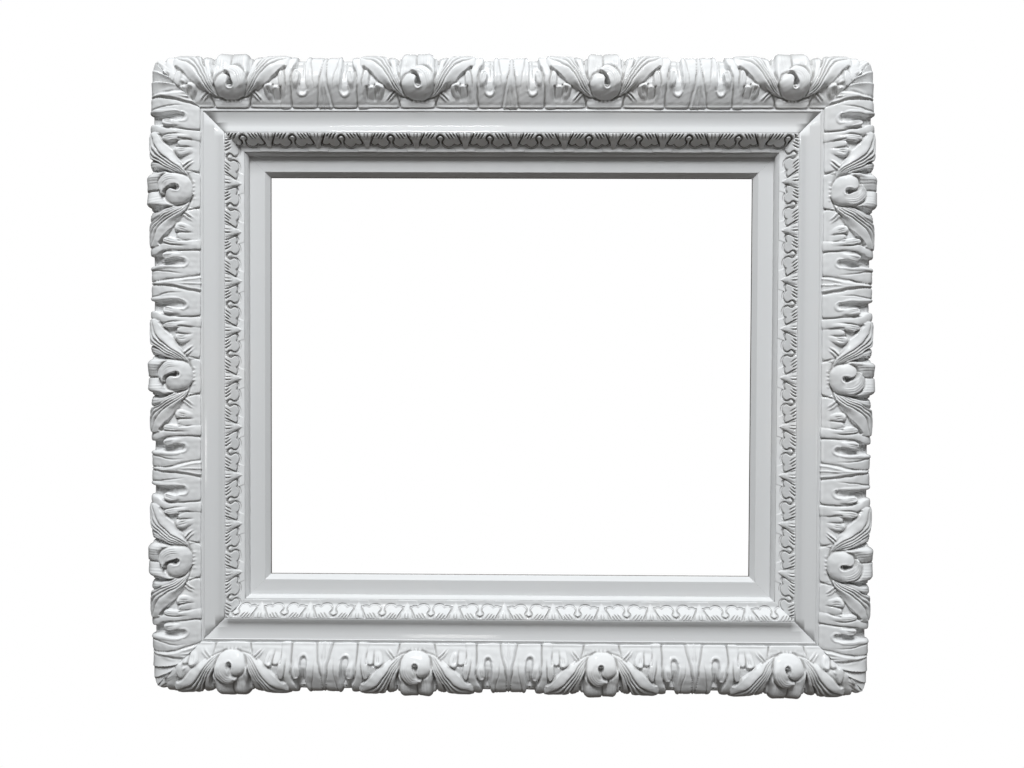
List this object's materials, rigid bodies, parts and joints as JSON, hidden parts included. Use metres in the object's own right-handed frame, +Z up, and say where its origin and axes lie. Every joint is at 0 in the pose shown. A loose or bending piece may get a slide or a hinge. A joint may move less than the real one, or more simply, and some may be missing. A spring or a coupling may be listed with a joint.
{
  "type": "picture frame",
  "caption": "Landscape baroque picture frame in gloss white: carved acanthus border, hollow, leaf band and flat slip, with a rebate, turn buttons and D-ring hangers at the back.",
  "frame": {"origin": "middle of the top rail's back face, which bears on the wall", "axes": "+X to the viewer's right, +Y from the front of the frame back into the wall, +Z up; the carved front faces -Y"},
  "size_m": [0.8808, 0.0641, 0.7788],
  "materials": {
    "white_rail": "gloss white paint on softwood",
    "white_slip": "gloss white paint on softwood",
    "white_leaf": "gloss white paint on carved wood",
    "white_acanthus": "gloss white paint on carved wood",
    "zinc_steel": "zinc plated",
    "screw_steel": "zinc plated",
    "nail_steel": "plain"
  },
  "bodies": {
    "frame": {"rail_top": "white_rail", "rail_bottom": "white_rail", "rail_left": "white_rail", "rail_right": "white_rail", "slip_top": "white_slip", "slip_bottom": "white_slip", "slip_left": "white_slip", "slip_right": "white_slip", "leaf_strip_top": "white_leaf", "leaf_strip_bottom": "white_leaf", "leaf_strip_left": "white_leaf", "leaf_strip_right": "white_leaf", "acanthus_top": "white_acanthus", "acanthus_bottom": "white_acanthus", "acanthus_left": "white_acanthus", "acanthus_right": "white_acanthus", "vnail_top_right_inner": "nail_steel", "vnail_top_right_outer": "nail_steel", "vnail_bottom_right_inner": "nail_steel", "vnail_bottom_right_outer": "nail_steel", "vnail_bottom_left_inner": "nail_steel", "vnail_bottom_left_outer": "nail_steel", "vnail_top_left_inner": "nail_steel", "vnail_top_left_outer": "nail_steel", "slip_vnail_top_right": "nail_steel", "slip_vnail_bottom_right": "nail_steel", "slip_vnail_bottom_left": "nail_steel", "slip_vnail_top_left": "nail_steel", "hanger_strap_left": "zinc_steel", "hanger_strap_right": "zinc_steel", "hanger_screw_left_upper": "screw_steel", "hanger_screw_left_lower": "screw_steel", "hanger_screw_right_upper": "screw_steel", "hanger_screw_right_lower": "screw_steel", "turn_screw_top_left": "screw_steel", "turn_screw_top_right": "screw_steel", "turn_screw_right": "screw_steel", "turn_screw_bottom_right": "screw_steel", "turn_screw_bottom_left": "screw_steel", "turn_screw_left": "screw_steel"},
    "ring_left": {"hanger_ring_left": "zinc_steel"},
    "ring_right": {"hanger_ring_right": "zinc_steel"},
    "button_top_left": {"turn_button_top_left": "zinc_steel"},
    "button_top_right": {"turn_button_top_right": "zinc_steel"},
    "button_right": {"turn_button_right": "zinc_steel"},
    "button_bottom_right": {"turn_button_bottom_right": "zinc_steel"},
    "button_bottom_left": {"turn_button_bottom_left": "zinc_steel"},
    "button_left": {"turn_button_left": "zinc_steel"}
  },
  "joints": [
    {"name": "ring_left_swing", "type": "hinge", "parent": "frame", "child": "ring_left", "pos_m": [-0.3784, 0.0034, -0.1774], "axis": [1, 0, 0], "range_deg": [0, 180]},
    {"name": "ring_right_swing", "type": "hinge", "parent": "frame", "child": "ring_right", "pos_m": [0.3784, 0.0034, -0.1774], "axis": [1, 0, 0], "range_deg": [0, 180]},
    {"name": "button_top_left_turn", "type": "hinge", "parent": "frame", "child": "button_top_left", "pos_m": [-0.15, 0, -0.0654], "axis": [0, 1, 0], "continuous": true},
    {"name": "button_top_right_turn", "type": "hinge", "parent": "frame", "child": "button_top_right", "pos_m": [0.15, 0, -0.0654], "axis": [0, 1, 0], "continuous": true},
    {"name": "button_right_turn", "type": "hinge", "parent": "frame", "child": "button_right", "pos_m": [0.313, 0, -0.3274], "axis": [0, 1, 0], "continuous": true},
    {"name": "button_bottom_right_turn", "type": "hinge", "parent": "frame", "child": "button_bottom_right", "pos_m": [0.15, 0, -0.5894], "axis": [0, 1, 0], "continuous": true},
    {"name": "button_bottom_left_turn", "type": "hinge", "parent": "frame", "child": "button_bottom_left", "pos_m": [-0.15, 0, -0.5894], "axis": [0, 1, 0], "continuous": true},
    {"name": "button_left_turn", "type": "hinge", "parent": "frame", "child": "button_left", "pos_m": [-0.313, 0, -0.3274], "axis": [0, 1, 0], "continuous": true}
  ]
}
